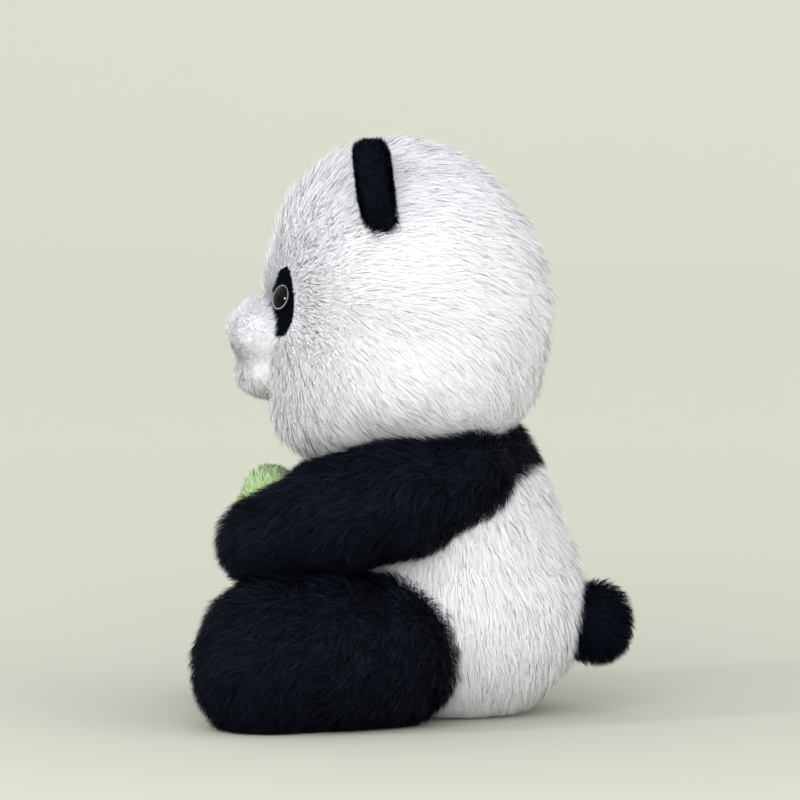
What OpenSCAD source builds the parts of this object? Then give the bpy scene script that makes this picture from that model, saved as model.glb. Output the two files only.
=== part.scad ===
/* [Torso] */
// Width of the seated body across the belly
torso_w = 128; // [120:1:132]
// Depth of the seated body from belly to back
torso_d = 124; // [120:1:126]
// Height of the belly's middle above the seat
belly_z = 50; // [48:1:52]
// Height at which the white back meets the black shoulders
yoke_z = 121; // [118:1:124]
/* [Head] */
// Width of the head across the cheeks
head_w = 166; // [160:1:170]
// Depth of the head from forehead to back
head_d = 135; // [132:1:138]
// Height of the head's middle above the seat
head_z = 199; // [198:1:202]
/* [Limbs] */
// Diameter of each leg
leg_dia = 74; // [70:1:75]
// Diameter of each arm at the forearm
arm_dia = 48; // [44:1:48]
// Diameter of the tail
tail_dia = 38; // [34:1:40]
// Diameter of the ear, measured along its seam
ear_dia = 51; // [46:1:52]
/* [Trim] */
// Diameter of the glossy part of each eye
eye_dia = 12.5; // [11:0.5:14]
// Diameter of the bamboo stalk
bamboo_dia = 26; // [22:1:27]
// Length of the bamboo stalk
bamboo_len = 62; // [54:1:64]
/* [Fabric] */
// Thickness of the pile fabric
fabric = 4; // [3:0.5:5]
/* [Hidden] */
LIMBS = ["left", "right"];
$fn = 128;
far = 400;
// Running gap between soft pieces that move past each other
gap = 0.4;
white = "whitesmoke";
black = [0.09, 0.10, 0.13];
fibre = "linen";
thread_r = 0.5;

// The body is two blended eggs: a wide belly and a narrower chest.
belly_at = [0, 21, belly_z];
belly_semi = [torso_w / 2, torso_d / 2, 60];
chest_at = [0, 19, 86];
chest_semi = [56, 46, 45];
base_t = 3;
filling_w = torso_w - 36;
pellets_at = [0, 34, 20];
pellets_semi = [32, 26, 14];

// The head is a round skull with heavy cheeks, tilted a little towards the lap.
skull_at = [0, -3, head_z];
skull_semi = [head_w / 2 - 1, head_d / 2, 74];
cheek_at = [0, -13, head_z - 32];
cheek_semi = [head_w / 2, 57, 44];
neck_at = [0, 10, 138];
neck_r = 22;
// The underside slopes from the low jowls up to the nape.
nape_at = [0, 10, 134.5];
nape_slope = 8;

// Muzzle: a puffed upper lobe over a smaller lower lip.
lobe_at = [0, -66, 183.5];
lobe_semi = [30, 21.5, 17.5];
lip_at = [0, -66, 161];
lip_semi = [24, 18.5, 13.5];
nose_at = [0, -84.2, 170.5];
nose_semi = [8, 3.5, 4.5];

// Eyes sit in fabric patches that face outwards and forwards.
eye_at = [36, -60, 199];
eye_yaw = 38;
patch_semi = [12, 16, 3.5];
washer_depth = 9;
shank_r = 1.5;
shank_len = 14;
shank_hole_r = 1.7;
eye_bulge = 4.5;
eye_lift = 2;
eye_back = 1.5;
washer_r = 6.5;
washer_t = 1.5;

// Ears are flat half rounds sewn along a slope on the top of the head.
ear_at = [58, -17, 248];
ear_slope = 43;
ear_semi = [ear_dia / 2, 7, 25];
ear_root_r = 6.9;
ear_groove_r = 8.5;
ear_groove_len = ear_dia + 3;

// Arms bend at the elbow and reach forwards to the chest.
shoulder = [50, 28, 111];
elbow = [56, -18, 102.7];
wrist = [36, -73, 92];
arm_end_r = 20.3;
upper_arm_r = arm_dia / 2 - 1;
forearm_r = arm_dia / 2;
hand_reach = 21;

// Legs are fat rolls that lie on the seat and spread apart at the feet.
hip = [52, -8, leg_dia / 2 - 1.5];
foot = [66, -66, leg_dia / 2 - 1.5];
leg_r = leg_dia / 2;
leg_side_room = 2.5;

// Tail: a round root in the back and an oblong tuft behind it.
tail_root = [0, 77, 44];
tail_root_r = 15;
tuft_at = [0, 87, 44];
tuft_semi = [tail_dia / 2 - 1, 16, tail_dia / 2];
tail_room_deep = 20;
tail_room_r = tail_dia / 2 + 5;

// Bamboo: an upright stalk leaning back from the lap towards the chin.
bamboo_at = [0, -74, 88];
bamboo_lean = -22;
bamboo_waist = 2;
bamboo_nodes = 2;

function side_of(s) = s == "left" ? 1 : -1;
function len3(v) = sqrt(v * v);
function grown(semi, by) = [for (r = semi) r + by];

module egg(at, semi) {
  translate(at) scale(semi) sphere(r = 1);
}

module above(z) {
  translate([-far / 2, -far / 2, z]) cube(far);
}

module below(z) {
  translate([-far / 2, -far / 2, z - far]) cube(far);
}

// Places a child that is drawn along +Z so that it runs from one point to another.
module along(from, to) {
  d = to - from;
  translate(from)
    rotate([0, acos(d[2] / len3(d)), atan2(d[1], d[0])])
      children();
}

module limb_egg(from, to, reach_from, reach_to, r) {
  span = len3(to - from);
  semi = (span + reach_from + reach_to) / 2;
  along(from, to) egg([0, 0, semi - reach_from], [r, r, semi]);
}

module thread(from, to) {
  along(from, to) cylinder(r = 2 * thread_r, h = len3(to - from));
}

module mirrored(s) {
  mirror([side_of(s) > 0 ? 0 : 1, 0, 0]) children();
}

// ---- Whole outlines, grown or shrunk by an amount ----

module torso_form(by) {
  egg(belly_at, grown(belly_semi, by));
  egg(chest_at, grown(chest_semi, by));
}

module arm_form(by) {
  translate(shoulder) sphere(r = arm_end_r + by);
  limb_egg(shoulder, elbow, arm_end_r - 0.3 + by, arm_end_r + by, upper_arm_r + by);
  limb_egg(elbow, wrist, hand_reach + by, hand_reach + by, forearm_r + by);
}

module leg_form(by, side_room = 0) {
  translate(hip) sphere(r = leg_r + by);
  limb_egg(hip, foot, leg_r - 1 + by, leg_r + by, leg_r + 1 + by + side_room);
}

module tail_form(by) {
  translate(tail_root) sphere(r = tail_root_r + by);
  egg(tuft_at, grown(tuft_semi, by));
}

module head_form(by) {
  egg(skull_at, grown(skull_semi, by));
  egg(cheek_at, grown(cheek_semi, by));
}

// Everything above the sloping underside of the head
module over_nape(by) {
  translate(nape_at) rotate([nape_slope, 0, 0]) above(-by);
}

module muzzle_form(by) {
  egg(lobe_at, grown(lobe_semi, by));
  egg(lip_at, grown(lip_semi, by));
}

// The ear's own frame: X along the seam, Y through its thickness, Z outwards.
module on_ear_seam() {
  translate(ear_at) rotate([0, ear_slope, 0]) children();
}

module ear_form(by) {
  intersection() {
    scale(grown(ear_semi, by)) sphere(r = 1);
    union() {
      translate([-far / 2, -far / 2, 0]) cube(far);
      rotate([0, 90, 0]) cylinder(r = ear_root_r + by, h = far, center = true);
    }
  }
}

// The eye's own frame: Z points out of the face.
module on_eye() {
  translate(eye_at) rotate([90, 0, eye_yaw]) children();
}

// A lens of fabric let into the face around the eye
module patch_pad() {
  on_eye() scale(patch_semi) sphere(r = 1);
}

// ---- Rooms cut in the body for the parts that move ----

module arm_rooms() {
  for (s = LIMBS) mirrored(s) arm_form(gap);
}

module leg_rooms() {
  for (s = LIMBS) mirrored(s) leg_form(gap, leg_side_room);
}

module neck_room() {
  translate(neck_at) sphere(r = neck_r + gap);
}

// One wide hollow, so that the tail can wag in it
module tail_room() {
  limb_egg(tail_root, tuft_at, tail_room_deep, tail_room_deep, tail_room_r);
}

module with_rooms() {
  difference() {
    children();
    arm_rooms();
    leg_rooms();
    neck_room();
    tail_room();
  }
}

// ---- Body ----

module torso_shell() {
  difference() {
    torso_form(0);
    torso_form(-fabric);
  }
}

module torso_cover() {
  color(white)
    with_rooms() difference() {
      torso_shell();
      below(base_t);
      above(yoke_z);
      stitch_row();
    }
}

module shoulder_yoke() {
  color(black)
    with_rooms() difference() {
      torso_shell();
      below(yoke_z);
      neck_ring();
    }
}

module base_panel() {
  color(white)
    with_rooms() difference() {
      torso_form(0);
      below(0);
      above(base_t);
    }
}

module torso_stuffing() {
  color(fibre)
    with_rooms() difference() {
      intersection() {
        torso_form(-fabric);
        cube([filling_w, far, far], center = true);
      }
      below(base_t);
      pellets();
    }
}

module pellets() {
  egg(pellets_at, pellets_semi);
}

module pellet_bag() {
  color("burlywood") pellets();
}

stitch_count = 7;
stitch_pitch = 4.5;
stitch_low = 76;
stitch_len = 5;
function belly_back(z) = belly_at[1] + belly_semi[1] * sqrt(1 - pow((z - belly_at[2]) / belly_semi[2], 2));
function chest_back(z) = chest_at[1] + chest_semi[1] * sqrt(1 - pow((z - chest_at[2]) / chest_semi[2], 2));

module stitch_row() {
  for (i = [0 : stitch_count - 1]) {
    z = stitch_low + i * stitch_pitch;
    y = max(belly_back(z), chest_back(z)) - thread_r;
    translate([0, y, z]) rotate([0, 90, 0]) cylinder(r = thread_r, h = stitch_len, center = true);
  }
}

module closing_stitches() {
  color(white) stitch_row();
}

neck_ring_r = neck_r + 3;
neck_ring_z = chest_at[2] + chest_semi[2] - 3;

module neck_ring() {
  translate([0, neck_at[1], neck_ring_z])
    rotate_extrude() translate([neck_ring_r, 0]) circle(r = thread_r);
}

module neck_thread() {
  color(black) neck_ring();
}

module neck_stuffing() {
  color(fibre) translate(neck_at) sphere(r = neck_r);
}

// ---- Head ----

module head_cover() {
  color(white)
    difference() {
      intersection() {
        head_form(0);
        over_nape(0);
      }
      intersection() {
        head_form(-fabric);
        over_nape(-fabric);
      }
      neck_room();
      for (s = LIMBS) mirrored(s) patch_pad();
      for (s = LIMBS) mirrored(s) eye_post(shank_hole_r);
      for (s = LIMBS) mirrored(s) eye_dome();
      for (s = LIMBS) mirrored(s) ear_groove();
    }
}

module ear_groove() {
  on_ear_seam() rotate([0, 90, 0]) cylinder(r = ear_groove_r, h = ear_groove_len, center = true);
}

module head_stuffing() {
  color(fibre)
    difference() {
      intersection() {
        head_form(-fabric);
        over_nape(-fabric);
      }
      neck_room();
      for (s = LIMBS) mirrored(s) patch_pad();
      for (s = LIMBS) mirrored(s) ear_groove();
      for (s = LIMBS) mirrored(s) eye_hardware();
    }
}

module muzzle_cover() {
  color(white)
    difference() {
      muzzle_form(0);
      muzzle_form(-fabric);
      head_form(0);
      nose_pad();
      mouth_threads();
    }
}

module muzzle_stuffing() {
  color(fibre)
    difference() {
      muzzle_form(-fabric);
      head_form(0);
      nose_pad();
      mouth_threads();
    }
}

module nose_pad() {
  egg(nose_at, nose_semi);
}

module nose() {
  color(black) nose_pad();
}

mouth_low = 158;
mouth_out = 12;
mouth_back = 2.5;
mouth_drop = 2;

module mouth_threads() {
  y = lip_at[1] - lip_semi[1];
  difference() {
    union() {
      thread([0, y, nose_at[2]], [0, y, mouth_low]);
      for (side = [-1, 1])
        thread([0, y, mouth_low + thread_r], [side * mouth_out, y + mouth_back, mouth_low - mouth_drop]);
    }
    nose_pad();
  }
}

module mouth_stitches() {
  color(black) mouth_threads();
}

module eye_patch(s) {
  color(black)
    mirrored(s) difference() {
      patch_pad();
      eye_dome();
      eye_shank();
    }
}

module eye_dome() {
  r = eye_dia / 2;
  on_eye() translate([0, 0, eye_lift]) difference() {
    scale([r, r, eye_bulge]) sphere(r = 1);
    below(-eye_back);
  }
}

module eye_post(r) {
  on_eye() translate([0, 0, -shank_len]) cylinder(r = r, h = shank_len + eye_lift);
}

module eye_shank() {
  eye_post(shank_r);
}

module washer_disc() {
  on_eye() translate([0, 0, -washer_depth]) cylinder(r = washer_r, h = washer_t);
}

module eye_hardware() {
  eye_shank();
  washer_disc();
}

module eye(s) {
  color([0.02, 0.02, 0.03])
    mirrored(s) {
      eye_dome();
      eye_shank();
    }
}

module eye_washer(s) {
  color("gainsboro")
    mirrored(s) difference() {
      washer_disc();
      eye_shank();
    }
}

module ear_cover(s) {
  color(black)
    mirrored(s) on_ear_seam() difference() {
      ear_form(0);
      ear_form(-fabric);
    }
}

module ear_wadding(s) {
  color(fibre) mirrored(s) on_ear_seam() ear_form(-fabric);
}

// ---- Arms, legs and tail ----

module arm_cover(s) {
  color(black)
    mirrored(s) difference() {
      arm_form(0);
      arm_form(-fabric);
    }
}

module arm_stuffing(s) {
  color(fibre) mirrored(s) arm_form(-fabric);
}

module leg_cover(s) {
  color(black)
    mirrored(s) difference() {
      leg_form(0);
      leg_form(-fabric);
      below(0);
    }
}

module leg_stuffing(s) {
  color(fibre) mirrored(s) difference() {
    leg_form(-fabric);
    below(0);
  }
}

module tail_cover() {
  color(black)
    difference() {
      tail_form(0);
      tail_form(-fabric);
    }
}

module tail_stuffing() {
  color(fibre) tail_form(-fabric);
}

// ---- Bamboo ----

module on_bamboo() {
  translate(bamboo_at) rotate([bamboo_lean, 0, 0]) children();
}

// A stalk with round ends, as a turned outline
module stalk(by) {
  r = bamboo_dia / 2 + by;
  straight = bamboo_len - bamboo_dia;
  on_bamboo() {
    cylinder(r = r, h = straight, center = true);
    for (side = [-1, 1]) translate([0, 0, side * straight / 2]) sphere(r = r);
  }
}

module bamboo_rings() {
  pitch = bamboo_len / (bamboo_nodes + 1);
  for (i = [1 : bamboo_nodes])
    on_bamboo() translate([0, 0, i * pitch - bamboo_len / 2])
      rotate_extrude() translate([bamboo_dia / 2, 0]) circle(r = 2 * thread_r);
}

module bamboo_cover() {
  color("yellowgreen")
    difference() {
      stalk(0);
      stalk(-fabric);
      bamboo_rings();
    }
}

module bamboo_stuffing() {
  color(fibre) stalk(-fabric);
}

module bamboo_stitches() {
  color("olivedrab") bamboo_rings();
}

torso_cover();
shoulder_yoke();
base_panel();
torso_stuffing();
pellet_bag();
closing_stitches();
neck_thread();
neck_stuffing();
head_cover();
head_stuffing();
muzzle_cover();
muzzle_stuffing();
nose();
mouth_stitches();
eye_patch("left");  // eye_patch_left
eye_patch("right");  // eye_patch_right
eye("left");  // eye_left
eye("right");  // eye_right
eye_washer("left");  // eye_washer_left
eye_washer("right");  // eye_washer_right
ear_cover("left");  // ear_cover_left
ear_cover("right");  // ear_cover_right
ear_wadding("left");  // ear_wadding_left
ear_wadding("right");  // ear_wadding_right
arm_cover("left");  // arm_cover_left
arm_cover("right");  // arm_cover_right
arm_stuffing("left");  // arm_stuffing_left
arm_stuffing("right");  // arm_stuffing_right
leg_cover("left");  // leg_cover_left
leg_cover("right");  // leg_cover_right
leg_stuffing("left");  // leg_stuffing_left
leg_stuffing("right");  // leg_stuffing_right
tail_cover();
tail_stuffing();
bamboo_cover();
bamboo_stuffing();
bamboo_stitches();
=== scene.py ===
import math

import bmesh
import bpy
import numpy as np
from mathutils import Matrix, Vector, kdtree


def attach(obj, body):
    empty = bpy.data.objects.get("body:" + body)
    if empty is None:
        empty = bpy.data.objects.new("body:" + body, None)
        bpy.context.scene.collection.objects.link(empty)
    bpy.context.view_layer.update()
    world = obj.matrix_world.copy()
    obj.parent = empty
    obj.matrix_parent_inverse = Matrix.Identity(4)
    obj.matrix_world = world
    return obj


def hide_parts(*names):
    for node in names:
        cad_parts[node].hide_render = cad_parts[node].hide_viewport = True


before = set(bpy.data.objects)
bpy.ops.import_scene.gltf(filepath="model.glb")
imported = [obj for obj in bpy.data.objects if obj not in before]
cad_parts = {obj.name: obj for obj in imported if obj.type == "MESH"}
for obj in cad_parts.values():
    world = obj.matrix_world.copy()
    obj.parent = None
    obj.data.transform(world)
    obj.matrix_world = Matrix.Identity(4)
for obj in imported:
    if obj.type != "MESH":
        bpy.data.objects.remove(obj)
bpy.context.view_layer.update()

# Shapes below are worked out in millimetres, and turned into metres when a mesh is made.
# The camera, the lights and the stage are in metres.
MM = 0.001
SIDES = {"left": 1.0, "right": -1.0}     # the sign of X on each side
UV_LAYER = "OFBake"
FLOOR_GAP = 0.5                          # how far the toy stays clear of the ground
BASE_TOP = FLOOR_GAP + 0.3               # the base panel is what lies below this

# ---------------------------------------------------------------- shape functions


def unit(v):
    return v / np.maximum(np.linalg.norm(v, axis=-1, keepdims=True), 1e-9)


def mirror(points, sign):
    return np.array(points, float) * np.array([sign, 1, 1])


def egg(p, at, semi):
    """Roughly the distance from each point to an ellipsoid, negative inside it."""
    q = p - np.array(at, float) + 1e-6
    semi = np.array(semi, float)
    a = np.linalg.norm(q / semi, axis=1)
    b = np.linalg.norm(q / semi**2, axis=1)
    return a * (a - 1) / b


def melt(a, b, soft):
    """The union of two distances, with a rounded valley between them."""
    h = np.clip(0.5 + 0.5 * (b - a) / soft, 0, 1)
    return b * (1 - h) + a * h - soft * h * (1 - h)


def carve(a, b, soft):
    """The part of a that is outside b, with a rounded edge."""
    return -melt(-a, b, soft)


WAVES = 5              # crossed waves in each layer of a ripple
LAYERS = 2
FINER, FAINTER = 1.7, 1.6


def ripple(p, size, seed):
    """Smooth noise between about -1 and 1, its largest waves about size millimetres long."""
    rng = np.random.RandomState(seed)
    out = np.zeros(len(p))
    for layer in range(LAYERS):
        for _ in range(WAVES):
            way = unit(rng.normal(size=3)) * 2 * math.pi / (size / FINER**layer)
            out += np.sin(p @ way + rng.uniform(0, 2 * math.pi)) / FAINTER**layer
    return out / WAVES


class Skin:
    """A triangle mesh in millimetres, with its normals."""

    def __init__(self, verts, faces, normals=None):
        self.verts, self.faces = verts, faces
        self.normals = vertex_normals(verts, faces) if normals is None else normals

    def part(self, keep):
        """The faces whose middles keep() accepts, with the whole skin's normals."""
        mids = self.verts[self.faces].mean(1)
        used, index = np.unique(self.faces[keep(mids)], return_inverse=True)
        return Skin(self.verts[used], index.reshape(-1, 3), self.normals[used])

    def moved(self, by):
        """The same skin, pushed out along its normals."""
        return Skin(self.verts + self.normals * by, self.faces)

    def seated(self):
        """The same skin, pressed flat where it would go into the ground."""
        verts = self.verts.copy()
        verts[:, 2] = np.maximum(verts[:, 2], FLOOR_GAP)
        return Skin(verts, self.faces)


def vertex_normals(verts, faces):
    a, b, c = (verts[faces[:, i]] for i in range(3))
    flat = np.cross(b - a, c - a)
    out = np.zeros_like(verts)
    for i in range(3):
        np.add.at(out, faces[:, i], flat)
    return unit(out)


def ball(detail):
    """The corners and triangles of a unit icosphere."""
    bm = bmesh.new()
    bmesh.ops.create_icosphere(bm, subdivisions=detail, radius=1)
    verts = np.array([v.co[:] for v in bm.verts])
    faces = np.array([[v.index for v in f.verts] for f in bm.faces])
    bm.free()
    return unit(verts), faces


REACH = 200.0          # longer than any shape is from a point inside it
HALVINGS = 22


def grown(shape, centre, detail=5):
    """The skin of a shape function, found along rays from a point inside it."""
    rays, faces = ball(detail)
    near, far = np.zeros(len(rays)), np.full(len(rays), REACH)
    for _ in range(HALVINGS):
        t = (near + far) / 2
        inside = shape(centre + rays * t[:, None]) < 0
        near, far = np.where(inside, t, near), np.where(inside, far, t)
    return Skin(centre + rays * near[:, None], faces)


# ---------------------------------------------------------------- pieces


def from_arrays(name, verts, loops, counts):
    """A mesh built from flat arrays: corners, each face's corners, and how many each has."""
    mesh = bpy.data.meshes.new(name)
    mesh.vertices.add(len(verts))
    mesh.vertices.foreach_set("co", (verts * MM).astype(np.float32).ravel())
    mesh.loops.add(len(loops))
    mesh.loops.foreach_set("vertex_index", loops.astype(np.int32))
    mesh.polygons.add(len(counts))
    starts = np.concatenate([[0], np.cumsum(counts)[:-1]])
    mesh.polygons.foreach_set("loop_start", starts.astype(np.int32))
    mesh.polygons.foreach_set("use_smooth", np.full(len(counts), True))
    mesh.update(calc_edges=True)
    mesh.validate()
    return mesh


def place(name, mesh, material, body, replaces=()):
    """One visual piece, which rides a body and may stand in for CAD nodes."""
    ob = bpy.data.objects.new(name, mesh)
    bpy.context.scene.collection.objects.link(ob)
    mesh.materials.append(material)
    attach(ob, body)
    if replaces:
        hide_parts(*replaces)
    return ob


def skin_piece(name, skin, material, body, replaces=()):
    mesh = from_arrays(name, skin.verts, skin.faces.ravel(), np.full(len(skin.faces), 3))
    return place(name, mesh, material, body, replaces)


def stuffed(name, skin, inset, body, node):
    """A filling: a smaller copy of a skin, standing in for the CAD's plain filling."""
    return skin_piece(name, skin.moved(-inset), fibre_wad, body, (node,))


# ---------------------------------------------------------------- pile

ROOT_DEPTH = 0.3                         # how far below the skin a ribbon starts
LOW_LEAN, HIGH_LEAN = 0.62, 1.18         # the share of the lean that each half of a ribbon has
BEND_WIDTH = 0.85                        # the ribbon's width at its bend, as a share of its foot's
ALONG_RIBBON = (0.02, 0.02, 0.5, 0.5, 0.5, 0.5, 0.98)     # how far up each corner of its two faces is


def scattered(rng, skin, density):
    """Roots spread evenly over a skin, and the skin's normal at each."""
    tri = skin.verts[skin.faces]
    area = np.linalg.norm(np.cross(tri[:, 1] - tri[:, 0], tri[:, 2] - tri[:, 0]), axis=1) / 2
    count = int(area.sum() * density)
    pick = np.searchsorted(np.cumsum(area), rng.uniform(0, area.sum() * 0.99999, count))
    u, v = rng.uniform(size=count), rng.uniform(size=count)
    flip = u + v > 1
    u, v = np.where(flip, 1 - u, u), np.where(flip, 1 - v, v)
    share = np.stack([1 - u - v, u, v], 1)[:, :, None]
    return (tri[pick] * share).sum(1), unit((skin.normals[skin.faces[pick]] * share).sum(1))


def clumped(rng, bend, tip, density, clump, pull):
    """Ribbons near each other pulled together, in clumps about clump millimetres across."""
    count = len(bend)
    heads = rng.permutation(count)[: max(8, int(count / density / clump**2))]
    tree = kdtree.KDTree(len(heads))
    for i, h in enumerate(heads):
        tree.insert(bend[h], i)
    tree.balance()
    near = heads[np.array([tree.find(q)[1] for q in bend])]
    strength = (pull * rng.uniform(0.4, 1.3, count)[near])[:, None].clip(0, 0.92)
    tip = tip + (tip[near] - tip) * strength
    bend = bend + (bend[near] - bend) * strength * 0.35
    return bend, tip


def pile(name, skin, material, body, slot, length, comb, lean=58.0, density=2.3, width=0.26,
         spread=0.3, clump=4.5, pull=0.3, swirl=0.5, seed=1, keep=None, trim=None):
    """Brushed pile on a skin, one narrow ribbon for each tuft of fibres.

    length is in millimetres, comb(points) gives the way the pile is brushed, lean is its angle from
    the skin's normal in degrees, and density is ribbons per square millimetre. swirl turns patches of
    it aside, and spread turns single ribbons. keep(points) says where it grows, and trim(points) how
    short it is cut."""
    rng = np.random.RandomState(seed)
    root, normal = scattered(rng, skin, density)
    if keep is not None:
        held = keep(root)
        root, normal = root[held], normal[held]
    count = len(root)

    loose = np.stack([ripple(root, 26, seed + 3 + i) for i in range(3)], 1)
    way = unit(comb(root)) + swirl * loose + spread * rng.normal(size=(count, 3))
    way = unit(way - normal * (way * normal).sum(1, keepdims=True))
    tilt = np.radians(lean + 5 * ripple(root, 14, seed + 9) + 6 * rng.normal(size=count))[:, None]
    long = length * (1 + 0.16 * ripple(root, 18, seed + 12) + rng.uniform(-0.28, 0.28, count))[:, None]
    if trim is not None:
        long = long * trim(root)[:, None]
    rise = unit(normal * np.cos(LOW_LEAN * tilt) + way * np.sin(LOW_LEAN * tilt))
    fall = unit(normal * np.cos(HIGH_LEAN * tilt) + way * np.sin(HIGH_LEAN * tilt))
    start = root - normal * ROOT_DEPTH
    bend = start + rise * long * 0.5
    tip = bend + fall * long * 0.5
    bend, tip = clumped(rng, bend, tip, density, clump, pull)

    along = unit(tip - start)
    face = unit(normal + 0.45 * rng.normal(size=(count, 3)))
    across = unit(np.cross(along, face)) * width * rng.uniform(0.7, 1.3, count)[:, None] / 2
    corners = [start - across, start + across, bend + BEND_WIDTH * across, bend - BEND_WIDTH * across, tip]
    verts = np.stack(corners, 1)
    verts[:, :, 2] = np.maximum(verts[:, :, 2], FLOOR_GAP)
    base = (np.arange(count) * 5)[:, None]
    loops = (base + np.array([0, 1, 2, 3, 3, 2, 4])).ravel()
    mesh = from_arrays(name, verts.reshape(-1, 3), loops, np.tile([4, 3], count))

    # Shaded mostly by the skin's normal, so that the pile looks soft
    flat = unit(np.cross(across, along))
    soft = unit(0.92 * normal + 0.08 * flat + 0.04 * rng.normal(size=(count, 3)))
    bent = unit(soft + 0.1 * along)
    custom = np.stack([soft, soft, soft, soft, bent], 1).reshape(-1, 3)
    mesh.normals_split_custom_set_from_vertices(custom.astype(np.float32))

    tone = (0.5 + 0.16 * rng.normal(size=count) + 0.08 * ripple(root, 9, seed + 20)).clip(0.01, 0.99)
    uv = np.stack([np.repeat(tone, len(ALONG_RIBBON)), np.tile(ALONG_RIBBON, count)], 1)
    mesh.uv_layers.new(name=UV_LAYER).data.foreach_set("uv", uv.astype(np.float32).ravel())
    return place(name, mesh, material, body)


def shared_out(name, skin, cuts, keep, seed, **kinds):
    """The same pile in several pieces: one for each side and each slice between the cuts in Y."""
    slices = list(zip([-math.inf, *cuts], [*cuts, math.inf]))
    for side, sign in SIDES.items():
        for i, (low, high) in enumerate(slices):
            def inside(p, s=sign, lo=low, hi=high):
                return (p[:, 0] * s > 0) & (p[:, 1] >= lo) & (p[:, 1] < hi) & keep(p)
            pile(f"{name}_{side}_{i + 1}", skin, seed=seed + 2 * i + int(sign > 0), keep=inside, **kinds)


def brushed(*way):
    """A comb that brushes all of the pile the same way."""
    return lambda p: np.tile(np.array(way, float), (len(p), 1))


def brushed_from(point):
    """A comb that brushes the pile away from a point."""
    return lambda p: unit(p - np.array(point, float))


# ---------------------------------------------------------------- materials


def new_material(name, roughness, specular):
    m = bpy.data.materials.new(name)
    m.use_nodes = True
    nodes, links = m.node_tree.nodes, m.node_tree.links
    nodes.clear()
    out = nodes.new("ShaderNodeOutputMaterial")
    bsdf = nodes.new("ShaderNodeBsdfPrincipled")
    links.new(bsdf.outputs[0], out.inputs["Surface"])
    bsdf.inputs["Roughness"].default_value = roughness
    bsdf.inputs["Specular IOR Level"].default_value = specular
    return m, nodes, links, bsdf


def ramp(nodes, stops):
    node = nodes.new("ShaderNodeValToRGB")
    els = node.color_ramp.elements
    els[0].position, els[0].color = stops[0][0], (*stops[0][1], 1)
    els[1].position, els[1].color = stops[-1][0], (*stops[-1][1], 1)
    for pos, colour in stops[1:-1]:
        els.new(pos).color = (*colour, 1)
    return node


def pile_material(name, dull, plain, bright, root, roughness=0.75, specular=0.3, sheen=0.0):
    """Fibre colour by ribbon (dull to bright), times a painted shade along it: root sets how dark it is made
    at the root.
    """
    m, nodes, links, bsdf = new_material(name, roughness, specular)
    uv = nodes.new("ShaderNodeUVMap")
    uv.uv_map = UV_LAYER
    split = nodes.new("ShaderNodeSeparateXYZ")
    links.new(uv.outputs[0], split.inputs[0])
    tones = ramp(nodes, [(0.05, dull), (0.5, plain), (0.95, bright)])
    links.new(split.outputs[0], tones.inputs[0])
    # Painted shade: the colour is multiplied darker towards each ribbon's root, from root there to none at
    # 0.55 of its length
    painted_root_shade = ramp(nodes, [(0.0, (root,) * 3), (0.55, (1, 1, 1))])
    links.new(split.outputs[1], painted_root_shade.inputs[0])
    mix = nodes.new("ShaderNodeMix")
    mix.data_type = "RGBA"
    mix.blend_type = "MULTIPLY"
    mix.inputs[0].default_value = 1.0
    links.new(tones.outputs[0], mix.inputs[6])
    links.new(painted_root_shade.outputs[0], mix.inputs[7])
    links.new(mix.outputs[2], bsdf.inputs["Base Color"])
    bsdf.inputs["Sheen Weight"].default_value = sheen
    return m


def mottled(nodes, links, bsdf, scale, detail, stops):
    """Colour that wanders between two tones. Gives back the coordinates that it follows."""
    where = nodes.new("ShaderNodeTexCoord").outputs["Object"]
    noise = nodes.new("ShaderNodeTexNoise")
    noise.inputs["Scale"].default_value = scale
    noise.inputs["Detail"].default_value = detail
    links.new(where, noise.inputs["Vector"])
    tones = ramp(nodes, stops)
    links.new(noise.outputs["Fac"], tones.inputs[0])
    links.new(tones.outputs[0], bsdf.inputs["Base Color"])
    return where


KNIT_SCALE, KNIT_HEIGHT = 900, 0.0006


def cloth_material(name, low, high, scale, roughness=0.9, bump=0.2, sheen=0.2):
    """Knitted backing cloth: mottled colour and a fine knit in its bump."""
    m, nodes, links, bsdf = new_material(name, roughness, 0.08)
    where = mottled(nodes, links, bsdf, scale, 6, [(0.3, low), (0.7, high)])
    knit = nodes.new("ShaderNodeTexVoronoi")
    knit.inputs["Scale"].default_value = KNIT_SCALE
    links.new(where, knit.inputs["Vector"])
    rise = nodes.new("ShaderNodeBump")
    rise.inputs["Strength"].default_value = bump
    rise.inputs["Distance"].default_value = KNIT_HEIGHT
    links.new(knit.outputs["Distance"], rise.inputs["Height"])
    links.new(rise.outputs[0], bsdf.inputs["Normal"])
    bsdf.inputs["Sheen Weight"].default_value = sheen
    return m


def plastic_material(name, low, high, roughness, specular=0.5):
    m, nodes, links, bsdf = new_material(name, roughness, specular)
    mottled(nodes, links, bsdf, 60, 2, [(0.35, low), (0.65, high)])
    return m


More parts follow.
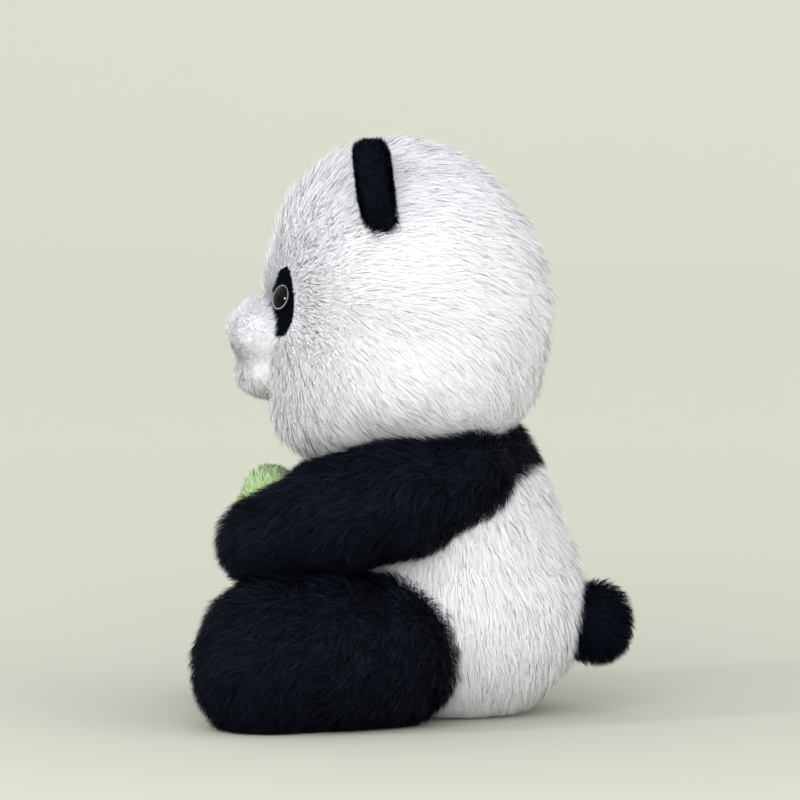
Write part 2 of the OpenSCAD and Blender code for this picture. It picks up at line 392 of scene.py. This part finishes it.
# The fourth number of each pile is its painted root shade: the share of its colour that is left at a ribbon's
# root
white_pile = pile_material("white_pile", (0.84, 0.84, 0.88), (0.87, 0.87, 0.905), (0.895, 0.895, 0.925),
                           0.97, specular=0.1)
black_pile = pile_material("black_pile", (0.001, 0.002, 0.004), (0.004, 0.005, 0.010),
                           (0.018, 0.022, 0.036), 0.6, roughness=0.6, specular=0.03)
velvet_pile = pile_material("velvet_pile", (0.001, 0.002, 0.004), (0.003, 0.004, 0.009),
                            (0.010, 0.013, 0.024), 0.6, roughness=0.7, specular=0.02)
green_pile = pile_material("green_pile", (0.42, 0.56, 0.28), (0.52, 0.65, 0.38), (0.62, 0.73, 0.47),
                           0.85, sheen=0.1)
white_cloth = cloth_material("white_cloth", (0.90, 0.90, 0.93), (0.94, 0.94, 0.96), 90, sheen=0.0)
black_cloth = cloth_material("black_cloth", (0.002, 0.003, 0.005), (0.004, 0.005, 0.009), 90, sheen=0.0)
green_cloth = cloth_material("green_cloth", (0.28, 0.50, 0.10), (0.38, 0.62, 0.16), 90)
fibre_wad = cloth_material("fibre_wad", (0.66, 0.65, 0.62), (0.84, 0.83, 0.80), 140, bump=0.6)
sack_cloth = cloth_material("sack_cloth", (0.42, 0.35, 0.25), (0.62, 0.54, 0.42), 220, bump=0.5)
black_thread = cloth_material("black_thread", (0.006, 0.007, 0.010), (0.020, 0.022, 0.030), 700,
                              roughness=0.5)
white_thread = cloth_material("white_thread", (0.66, 0.66, 0.66), (0.82, 0.82, 0.82), 700, roughness=0.6)
green_thread = cloth_material("green_thread", (0.14, 0.30, 0.05), (0.24, 0.44, 0.09), 700, roughness=0.6)
eye_plastic = plastic_material("eye_plastic", (0.001, 0.001, 0.002), (0.003, 0.003, 0.005), 0.05, 0.1)
ring_plastic = plastic_material("ring_plastic", (0.22, 0.24, 0.27), (0.36, 0.38, 0.42), 0.4, 0.1)
washer_plastic = plastic_material("washer_plastic", (0.62, 0.62, 0.60), (0.72, 0.72, 0.70), 0.5)

# ---------------------------------------------------------------- camera, light and stage

FRAME_WIDTH = 0.38            # what the picture spans at the toy's middle plane
CAMERA_FAR = 2.4
CAMERA_ELEVATION = math.radians(4.0)
AIM = Vector((0.0, -0.0057, 0.1487))
SENSOR = 36
LIT_POINT = (0, 0, 0.12)      # where the area lights point


def look_at(ob, target):
    ob.rotation_euler = (Vector(target) - ob.location).to_track_quat("-Z", "Y").to_euler()


def add_camera():
    data = bpy.data.cameras.new("camera")
    cam = bpy.data.objects.new("camera", data)
    bpy.context.scene.collection.objects.link(cam)
    cam.location = AIM + CAMERA_FAR * Vector((math.cos(CAMERA_ELEVATION), 0, math.sin(CAMERA_ELEVATION)))
    look_at(cam, AIM)
    data.sensor_width = SENSOR
    data.lens = SENSOR * CAMERA_FAR / FRAME_WIDTH
    data.clip_end = 20
    bpy.context.scene.camera = cam


def add_light(name, where, size, watts):
    """A round soft box."""
    data = bpy.data.lights.new(name, "AREA")
    data.shape = "DISK"
    data.size = size
    data.energy = watts
    ob = bpy.data.objects.new(name, data)
    bpy.context.scene.collection.objects.link(ob)
    ob.location = where
    ob.visible_camera = False
    look_at(ob, LIT_POINT)


def add_sun(name, towards, angle, strength):
    data = bpy.data.lights.new(name, "SUN")
    data.angle = math.radians(angle)
    data.energy = strength
    ob = bpy.data.objects.new(name, data)
    bpy.context.scene.collection.objects.link(ob)
    ob.location = towards
    look_at(ob, (0, 0, 0))


def add_world(strength):
    world = bpy.data.worlds.new("studio")
    world.use_nodes = True
    back = world.node_tree.nodes["Background"]
    back.inputs[0].default_value = (1.0, 1.0, 1.0, 1)
    back.inputs[1].default_value = strength
    bpy.context.scene.world = world


# How pale the ground is at each share of the way out to STAGE_REACH
STAGE_TONES = ((0.03, 0.455), (0.12, 0.49), (0.24, 0.53), (0.42, 0.562), (0.70, 0.584), (0.78, 0.578),
               (0.84, 0.556), (1.0, 0.548))
STAGE_TINT = np.array([1.0, 1.023, 0.887])
STAGE_REACH = 4.0
STAGE_FLAT, STAGE_BEND, STAGE_WALL = 3.0, 1.4, 1.5
STAGE_STEPS, STAGE_AROUND = 12, 96


def stage_material():
    m, nodes, links, bsdf = new_material("pale_stage", 1.0, 0.0)
    where = nodes.new("ShaderNodeTexCoord")
    reach = nodes.new("ShaderNodeVectorMath")
    reach.operation = "LENGTH"
    links.new(where.outputs["Object"], reach.inputs[0])
    share = nodes.new("ShaderNodeMath")
    share.operation = "DIVIDE"
    share.inputs[1].default_value = STAGE_REACH
    links.new(reach.outputs["Value"], share.inputs[0])
    tones = ramp(nodes, [(at, tuple(tone * STAGE_TINT)) for at, tone in STAGE_TONES])
    links.new(share.outputs[0], tones.inputs[0])
    links.new(tones.outputs[0], bsdf.inputs["Base Color"])
    return m


def add_stage():
    """A pale floor that curves up into a backdrop all round."""
    profile = [(STAGE_FLAT, 0.0)]
    for i in range(1, STAGE_STEPS + 1):
        a = i / STAGE_STEPS * math.pi / 2
        profile.append((STAGE_FLAT + STAGE_BEND * math.sin(a), STAGE_BEND * (1 - math.cos(a))))
    profile.append((STAGE_FLAT + STAGE_BEND, STAGE_WALL))
    bm = bmesh.new()
    turns = np.linspace(0, 2 * math.pi, STAGE_AROUND, endpoint=False)
    rings = [[bm.verts.new((r * math.cos(t), r * math.sin(t), z)) for t in turns] for r, z in profile]
    bm.faces.new(rings[0])
    for low, high in zip(rings, rings[1:]):
        for i in range(STAGE_AROUND):
            j = (i + 1) % STAGE_AROUND
            bm.faces.new((low[j], low[i], high[i], high[j]))
    mesh = bpy.data.meshes.new("stage")
    bm.to_mesh(mesh)
    bm.free()
    for f in mesh.polygons:
        f.use_smooth = True
    ob = bpy.data.objects.new("stage", mesh)
    bpy.context.scene.collection.objects.link(ob)
    mesh.materials.append(stage_material())


bpy.context.scene.view_settings.view_transform = "Standard"
add_camera()
add_world(1.06)
add_sun("softbox", (2.0, -0.5, 1.1), 60, 1.15)
add_light("front", (1.45, -0.2, 0.45), 1.1, 9.2)
add_light("catch", (0.667, -1.52, 0.669), 0.20, 11.0)
add_light("low", (1.2, 0.75, 0.15), 0.9, 6.5)
add_light("back", (1.1, 2.0, 1.1), 1.4, 10.0)
add_stage()

# ---------------------------------------------------------------- head

# An egg is its middle and its half-sizes.
CROWN = ((0, -7.5, 204), (75, 56, 60))
TOP = ((0, -8, 225), (62, 48, 41.5))
NAPE = ((0, 5, 194), (74, 55.5, 58))
CHEEKS = ((0, -3.5, 164), (78, 57, 39))
FACE = ((0, -29, 181), (52, 36, 48))
JOWL = ((0, -27, 147), (54, 34.5, 25))
EYE_DENT = ((40, -68, 197), (13, 7, 15))
MUZZLE_LOBE = ((0, -62, 180), (25.5, 23.5, 17.5))
MUZZLE_LIP = ((0, -62, 162), (22, 19.5, 10.5))
NECK_BALL = ((0, 10, 138), (21.5, 21.5, 21.5))
HEAD_INSIDE = (0, -4, 190)
MUZZLE_INSIDE = (0, -62, 173)
HEAD_CUTS = (-35, -10, 15, 40)     # where the head's pile is cut into pieces, in Y

EYE_YAW = math.radians(38)
EYE_AT = (36.0, -60.5, 199.0)
PATCH_W, PATCH_H = 11.9, 15.8      # the patch's half-sizes
PATCH_DROP, PATCH_IN = 1.7, 3.0    # how far its middle is below the eye, and in from it
PATCH_REACH = 14                   # how deep behind the eye the face still belongs to it
PATCH_LAP = 0.03                   # how far it goes under the pile round it, as a share of its size
PATCH_LIFT = 1.2

eye_way = {side: unit(mirror((math.sin(EYE_YAW), -math.cos(EYE_YAW), 0), sign))
           for side, sign in SIDES.items()}
eye_spot = {side: mirror(EYE_AT, sign) for side, sign in SIDES.items()}


def head_shape(p):
    skull = melt(melt(melt(egg(p, *CROWN), egg(p, *TOP), 8), egg(p, *NAPE), 12), egg(p, *CHEEKS), 14)
    body = melt(skull, melt(egg(p, *FACE), egg(p, *JOWL), 12), 12)
    for sign in SIDES.values():
        body = carve(body, egg(p, mirror(EYE_DENT[0], sign), EYE_DENT[1]), 9)
    return body + 0.5 * ripple(p, 34, 4)


def muzzle_shape(p):
    return melt(egg(p, *MUZZLE_LOBE), egg(p, *MUZZLE_LIP), 8)


def patch_depth(p, side):
    """How far a point is inside the eye patch's oval, 1 at its middle and 0 on its edge."""
    way = eye_way[side]
    across = np.array([-way[1], way[0], 0.0])
    q = p - eye_spot[side]
    u = (q @ across * np.sign(way[0]) + PATCH_IN) / PATCH_W
    v = (q[:, 2] + PATCH_DROP) / PATCH_H
    return np.where((q @ way) > -PATCH_REACH, 1 - np.hypot(u, v), -1.0)


def in_patch(p):
    return np.maximum(patch_depth(p, "left"), patch_depth(p, "right"))


CLIP_EDGE, CLIP_WIDE = 0.3, 0.9    # how far out the clipping goes, as a share of the patch's size
CLIP_FROM, CLIP_OVER = -56, 6      # the Y where the face starts, and how soon it is all face


def clipped_face(p):
    """The pile is clipped short round each eye patch, and shortest on the nose's side of it."""
    beside = np.clip(-in_patch(p) / CLIP_WIDE, 0, 1)
    edge = np.clip(-in_patch(p) / CLIP_EDGE, 0, 1)
    fore = np.clip((CLIP_FROM - p[:, 1]) / CLIP_OVER, 0, 1)
    return (1 - 0.8 * fore * (1 - beside)) * (0.5 + 0.5 * edge)


def brushed_head(p):
    """From the nose outwards over the face, then back and down."""
    low = np.clip((205 - p[:, 2]) / 60, 0, 1)[:, None]
    return brushed_from((0, -92, 178))(p) + np.array([0, 0.25, -1.0]) * (0.25 + 0.75 * low)


white_coat = {"material": white_pile, "slot": "white_plush", "lean": 62, "density": 3.2, "width": 0.25,
              "clump": 3.2, "pull": 0.09, "swirl": 0.14, "spread": 0.14}
head_skin = grown(head_shape, HEAD_INSIDE, detail=6)
muzzle_skin = grown(muzzle_shape, MUZZLE_INSIDE)

skin_piece("head_skin", head_skin, white_cloth, "head", ("head_cover",))
stuffed("head_filling", head_skin, 3.0, "head", "head_stuffing")
shared_out("head_pile", head_skin, HEAD_CUTS, body="head", length=10.5, comb=brushed_head, seed=10,
           keep=lambda p: (in_patch(p) < 0) & (muzzle_shape(p) > -1.5), trim=clipped_face, **white_coat)
skin_piece("muzzle_skin", muzzle_skin, white_cloth, "head", ("muzzle_cover",))
stuffed("muzzle_filling", muzzle_skin, 2.5, "head", "muzzle_stuffing")

# ---------------------------------------------------------------- nose and mouth

NOSE_HALF, NOSE_LOW, NOSE_HIGH = 7.0, 169.5, 177.5
NOSE_BACK = -76                    # the nose is all forward of this Y
NOSE_PITCH = 0.75                  # between the nose's stitches
NOSE_POINTS = 8                    # along each stitch
MOUTH_LOW, MOUTH_HALF, MOUTH_SAG = 161.8, 10, 3.4
MOUTH_LIFT = 0.9
TUBE_SIDES = 8


def front_of(shape, x, z, lift):
    """The point on the front of a shape at a given X and Z, moved forwards by lift."""
    near, far = -60.0, -120.0
    for _ in range(24):
        y = (near + far) / 2
        near, far = (y, far) if shape(np.array([[x, y, z]]))[0] < 0 else (near, y)
    return np.array([x, near - lift, z])


def nose_edge(x):
    """Lowest and highest Z of the nose at X: a rounded triangle, wide at the top."""
    share = abs(x) / NOSE_HALF
    return NOSE_LOW + 5.2 * share**1.5, NOSE_HIGH - 1.8 * share**3


def in_nose(p):
    low, high = nose_edge(p[:, 0])
    return (p[:, 1] < NOSE_BACK) & (abs(p[:, 0]) < NOSE_HALF) & (p[:, 2] > low) & (p[:, 2] < high)


def tubes(name, lines, radius, replaces):
    """One piece made of black threads, each following a line of points."""
    verts, loops, counts = [], [], []
    angles = np.linspace(0, 2 * math.pi, TUBE_SIDES, endpoint=False)[:, None]
    for line in lines:
        line = np.array(line)
        ways = unit(np.gradient(line, axis=0))
        base = sum(len(v) for v in verts)
        for point, way in zip(line, ways):
            u = unit(np.cross(way, [0.13, 0.97, 0.21]))     # any way that no thread follows
            v = np.cross(way, u)
            verts.append(point + radius * (np.cos(angles) * u + np.sin(angles) * v))
        for i in range(len(line) - 1):
            for j in range(TUBE_SIDES):
                k, low, high = (j + 1) % TUBE_SIDES, base + i * TUBE_SIDES, base + (i + 1) * TUBE_SIDES
                loops += [low + j, low + k, high + k, high + j]
                counts.append(4)
        loops += [base + j for j in range(TUBE_SIDES)][::-1]
        loops += [base + (len(line) - 1) * TUBE_SIDES + j for j in range(TUBE_SIDES)]
        counts += [TUBE_SIDES, TUBE_SIDES]
    mesh = from_arrays(name, np.concatenate(verts), np.array(loops), np.array(counts))
    return place(name, mesh, black_thread, "head", replaces)


def nose_lines():
    """Upright stitches side by side, which stand out most in the middle of the nose."""
    lines = []
    lifts = 0.4 + 0.7 * np.sin(np.linspace(0, math.pi, NOSE_POINTS))
    for x in np.arange(-NOSE_HALF, NOSE_HALF + 0.1, NOSE_PITCH):
        rows = np.linspace(*nose_edge(x), NOSE_POINTS)
        lines.append([front_of(muzzle_shape, x, z, lift) for z, lift in zip(rows, lifts)])
    return lines


def mouth_lines():
    """One stitch down from the nose, and a bow to each side."""
    drop = np.linspace(NOSE_LOW + 0.5, MOUTH_LOW - 0.3, NOSE_POINTS)
    lines = [[front_of(muzzle_shape, 0, z, MOUTH_LIFT) for z in drop]]
    for sign in SIDES.values():
        bow = np.linspace(0, 1, 12)
        lines.append([front_of(muzzle_shape, sign * MOUTH_HALF * t, MOUTH_LOW - MOUTH_SAG * math.sin(t * 2.2),
                               MOUTH_LIFT) for t in bow])
    return lines


tubes("nose_stitching", nose_lines(), 0.55, ("nose",))
tubes("mouth_stitching", mouth_lines(), 0.6, ("mouth_stitches",))
pile("muzzle_pile", muzzle_skin, white_pile, "head", "white_plush", 6.0, brushed_from((0, -86, 171)), lean=58,
     density=4.5, width=0.18, clump=3.0, pull=0.25, seed=20,
     keep=lambda p: (head_shape(p) > -1.0) & ~in_nose(p))

neck_ball = grown(lambda p: egg(p, *NECK_BALL), NECK_BALL[0], detail=4)
skin_piece("neck_filling", neck_ball, fibre_wad, "neck", ("neck_stuffing",))

# ---------------------------------------------------------------- body

BELLY = ((0, 21.5, 52), (57, 56, 54.5))
CHEST = ((0, 21, 98.5), (50, 39.5, 46))
TORSO_INSIDE = (0, 22, 66)
TORSO_CUTS = (22,)
SEAM_BACK, SEAM_SLOPE = 57, 0.62         # the black seam is highest at this Y, and falls to the front
SEAM_TOP, SEAM_LOW, SEAM_HIGH = 121.5, 92, 122.5


def torso_shape(p):
    return melt(egg(p, *BELLY), egg(p, *CHEST), 22) + 0.4 * ripple(p, 30, 41)


def black_line(p):
    """Height above the seam where the black shoulders begin: it climbs from the elbow to the back."""
    return p[:, 2] - np.clip(SEAM_TOP - SEAM_SLOPE * (SEAM_BACK - p[:, 1]), SEAM_LOW, SEAM_HIGH)


def is_black(p):
    return black_line(p) > 0


def is_base(p):
    return p[:, 2] < BASE_TOP


def is_white(p):
    return ~is_base(p) & ~is_black(p)


torso = grown(torso_shape, TORSO_INSIDE).seated()
skin_piece("torso_skin", torso.part(is_white), white_cloth, "torso", ("torso_cover",))
skin_piece("yoke_skin", torso.part(is_black), black_cloth, "torso", ("shoulder_yoke",))
skin_piece("base_skin", torso.part(is_base), white_cloth, "torso", ("base_panel",))
stuffed("torso_filling", torso, 3.0, "torso", "torso_stuffing")
shared_out("torso_pile", torso, TORSO_CUTS, is_white, 30, body="torso", length=10.0,
           comb=brushed(0, 0.12, -1), **white_coat)
pile("yoke_pile", torso, black_pile, "torso", "black_plush", 10.0, brushed(0, 0.12, -1), lean=56, seed=40,
     keep=is_black)

# ---------------------------------------------------------------- arms, legs, tail

# Each limb goes through these points, with this radius at each. The far ones are seen a little lower.
ARM_PATHS = {
    "left": [((48, 24, 117), 19.5), ((56, -5, 108), 23.0), ((54, -34, 99), 21.5), ((38, -69, 85), 18.5)],
    "right": [((48, 24, 117), 19.5), ((56, -5, 106), 22.5), ((54, -34, 94), 20.5), ((38, -68, 79), 18.0)],
}
LEG_PATHS = {
    "left": [((50, -13, 34), 32.5), ((56, -38, 34), 33.0), ((62, -62.5, 33), 32.3), ((62, -67, 25), 29.5)],
    "right": [((50, -13, 33), 31.5), ((56, -38, 32), 31.5), ((62, -59, 29), 29.0), ((62, -63, 23), 28.0)],
}
ARM_INSIDE = (54, -20, 104)
LEG_INSIDE = (56, -40, 34)
LEG_BARE = 1.5                     # no pile grows below this height on the legs
TUFT = ((0, 88.5, 42.5), (15, 13.5, 17))
TAIL_ROOT = ((0, 77, 44), (13, 10, 13))
TAIL_INSIDE = (0, 84, 43)


def rolled(path, sign):
    """A limb's shape: capsules from point to point, melted together."""

    def shape(p):
        out = None
        for (a, ra), (b, rb) in zip(path, path[1:]):
            a, b = mirror(a, sign), mirror(b, sign)
            t = np.clip((p - a) @ (b - a) / ((b - a) @ (b - a)), 0, 1)
            d = np.linalg.norm(p - (a + t[:, None] * (b - a)), axis=1) - (ra + (rb - ra) * t)
            out = d if out is None else melt(out, d, 10)
        return out + 0.5 * ripple(p, 26, 50)

    return shape


def along_path(path, sign, down):
    """A comb that brushes a limb's pile towards its end, and down."""
    a, b = mirror(path[0][0], sign), mirror(path[-1][0], sign)
    return brushed(*(unit(b - a) + np.array([0, 0, -down])))


def add_limb(kind, side, skin, comb, seed, **kinds):
    """A black limb: its skin, its filling and its pile."""
    body = f"{kind}_{side}"
    skin_piece(f"{kind}_skin_{side}", skin, black_cloth, body, (f"{kind}_cover_{side}",))
    stuffed(f"{kind}_filling_{side}", skin, 3.0, body, f"{kind}_stuffing_{side}")
    pile(f"{kind}_pile_{side}", skin, black_pile, body, "black_plush", 9.0, comb, lean=60, seed=seed, **kinds)


for side, sign in SIDES.items():
    arm_path, leg_path = ARM_PATHS[side], LEG_PATHS[side]
    arm = grown(rolled(arm_path, sign), mirror(ARM_INSIDE, sign))
    add_limb("arm", side, arm, along_path(arm_path, sign, 0.5), 60 + int(sign))
    leg = grown(rolled(leg_path, sign), mirror(LEG_INSIDE, sign)).seated()
    add_limb("leg", side, leg, along_path(leg_path, sign, 0.7), 70 + int(sign), density=2.0,
             keep=lambda p: p[:, 2] > LEG_BARE)

tail = grown(lambda p: melt(egg(p, *TUFT), egg(p, *TAIL_ROOT), 8), TAIL_INSIDE, detail=4)
skin_piece("tail_skin", tail, black_cloth, "tail", ("tail_cover",))
stuffed("tail_filling", tail, 2.5, "tail", "tail_stuffing")
pile("tail_pile", tail, velvet_pile, "tail", "black_velvet", 6.5, brushed(0, 0.6, -0.8), lean=52, density=2.0,
     width=0.3, clump=3.5, seed=80)

# ---------------------------------------------------------------- ears

EAR_AT = {"left": (58, -16.5, 249.2), "right": (58, -17, 246.4)}     # the far one is seen a little lower
EAR_RIM = (58, -16, 249)           # the pile spreads from here
EAR_FLAT, EAR_FLAT_THICK = 18, 1.9     # the radius and half the thickness of the ear's flat part
EAR_ROUND = 4.8                    # the radius of its rounded edge


def ear_shape(middle, sign):
    """A thick disc that leans forward, with its foot curved back and its sides cupped forward."""

    def shape(p):
        q = mirror(p, sign) - np.array(middle)
        middle_y = -0.14 * q[:, 2] + 0.004 * np.minimum(q[:, 2], 0) ** 2 - 0.002 * q[:, 0] ** 2
        out = np.maximum(np.hypot(q[:, 0], q[:, 2]) - EAR_FLAT, 0)
        return np.hypot(out, np.maximum(abs(q[:, 1] - middle_y) - EAR_FLAT_THICK, 0)) - EAR_ROUND

    return shape


for side, sign in SIDES.items():
    ear = grown(ear_shape(EAR_AT[side], sign), mirror(EAR_AT[side], sign))
    body = f"ear_{side}"
    skin_piece(f"ear_skin_{side}", ear, black_cloth, body, (f"ear_cover_{side}",))
    stuffed(f"ear_filling_{side}", ear, 2.0, body, f"ear_wadding_{side}")
    pile(f"ear_pile_{side}", ear, velvet_pile, body, "black_velvet", 3.8, brushed_from(mirror(EAR_RIM, sign)),
         lean=52, density=3.0, width=0.26, clump=3.0, spread=0.5, seed=90 + int(sign))

# ---------------------------------------------------------------- eyes

for side, sign in SIDES.items():
    patch = head_skin.part(lambda m, s=side: patch_depth(m, s) > -PATCH_LAP).moved(PATCH_LIFT)
    skin_piece(f"patch_skin_{side}", patch, black_cloth, "head", (f"eye_patch_{side}",))
    pile(f"patch_pile_{side}", patch, velvet_pile, "head", "black_velvet", 2.6, brushed(0, 0.3, -1), lean=50,
         density=5.0, width=0.24, clump=2.0, seed=100 + int(sign))

EYE_R, EYE_RISE, RING_R = 6.25, 1.6, 5.6
RING_WIDE, RING_HIGH = 0.24, 0.18        # half-sizes of the ring's section
SHANK_R, SHANK_END, DOME_BACK = 1.5, -12.0, -1.5
EYE_TILT = np.array([0, 0, 0.27])        # the eyes look a little up
EYE_SHIFT = np.array([0, -1.0, 0.4])     # from EYE_AT
EYE_SEAT = 0.2                           # how deep the dome sits
EYE_CURVE = (EYE_R**2 + EYE_RISE**2) / (2 * EYE_RISE)


def turned_piece(profile, at, way, around=48):
    """A turned solid: profile is (radius, height) pairs, its axis pointing along way from at."""
    side_way = unit(np.cross(way, [0, 0, 1.0]))
    up = np.cross(side_way, way)
    angles = np.linspace(0, 2 * math.pi, around, endpoint=False)
    circle = np.cos(angles)[:, None] * side_way + np.sin(angles)[:, None] * up
    verts = np.concatenate([at + r * circle + h * way for r, h in profile])
    loops, counts = [], []
    for i in range(len(profile) - 1):
        for j in range(around):
            k = (j + 1) % around
            loops += [i * around + j, i * around + k, (i + 1) * around + k, (i + 1) * around + j]
            counts.append(4)
    for ring, order in ((0, -1), (len(profile) - 1, 1)):
        loops += [ring * around + j for j in range(around)][::order]
        counts.append(around)
    return verts, np.array(loops), np.array(counts)


def dome_height(r):
    """How far the dome stands out at this radius."""
    return math.sqrt(EYE_CURVE**2 - r**2) - (EYE_CURVE - EYE_RISE)


def dome_profile():
    """The shank's end and its top, the dome's back edge, then the dome from its edge to its middle."""
    radii = [EYE_R * (1 - t) for t in np.linspace(0, 1, 14)[:-1]]
    dome = [(r, dome_height(r)) for r in radii]
    return [(SHANK_R, SHANK_END), (SHANK_R, DOME_BACK), (EYE_R, DOME_BACK), *dome]


def ring_profile():
    turns = [*np.linspace(0, 2 * math.pi, 9)[:-1], 0.0]
    lift = dome_height(RING_R)
    return [(RING_R + RING_WIDE * math.cos(a), lift + RING_HIGH * math.sin(a)) for a in turns]


for side in SIDES:
    way = unit(eye_way[side] + EYE_TILT)
    seat = eye_spot[side] - way * EYE_SEAT + EYE_SHIFT
    dome = from_arrays(f"eye_dome_{side}", *turned_piece(dome_profile(), seat, way))
    place(f"eye_dome_{side}", dome, eye_plastic, "head", (f"eye_{side}",))
    ring = from_arrays(f"eye_ring_{side}", *turned_piece(ring_profile(), seat, way))
    place(f"eye_ring_{side}", ring, ring_plastic, "head")

# ---------------------------------------------------------------- bamboo

BAMBOO_AT = np.array([0, -74, 88.0])
BAMBOO_LEAN = math.radians(-22)
BAMBOO_R = 11.2
BAMBOO_LOW, BAMBOO_HIGH = -8, 18         # the ends of its middle line, before the rounded ends


def bamboo_shape(p):
    c, s = math.cos(BAMBOO_LEAN), math.sin(BAMBOO_LEAN)
    q = (p - BAMBOO_AT) @ np.array([[1, 0, 0], [0, c, -s], [0, s, c]])
    q[:, 2] -= np.clip(q[:, 2], BAMBOO_LOW, BAMBOO_HIGH)
    return np.linalg.norm(q, axis=1) - BAMBOO_R


bamboo = grown(bamboo_shape, BAMBOO_AT)
stuffed("bamboo_filling", bamboo, 2.5, "arm_right", "bamboo_stuffing")
skin_piece("bamboo_skin", bamboo, green_cloth, "arm_right", ("bamboo_cover",))
pile("bamboo_pile", bamboo, green_pile, "arm_right", "green_plush", 3.8, brushed(0, 0, 1), lean=42,
     density=3.0, width=0.28, clump=2.5, seed=110)

# ---------------------------------------------------------------- CAD nodes that show their own shape

finishes = {
    "pellet_bag": sack_cloth,
    "closing_stitches": white_thread,
    "neck_thread": black_thread,
    "bamboo_stitches": green_thread,
    "eye_washer_left": washer_plastic,
    "eye_washer_right": washer_plastic,
}
for node, material in finishes.items():
    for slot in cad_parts[node].material_slots:
        slot.material = material
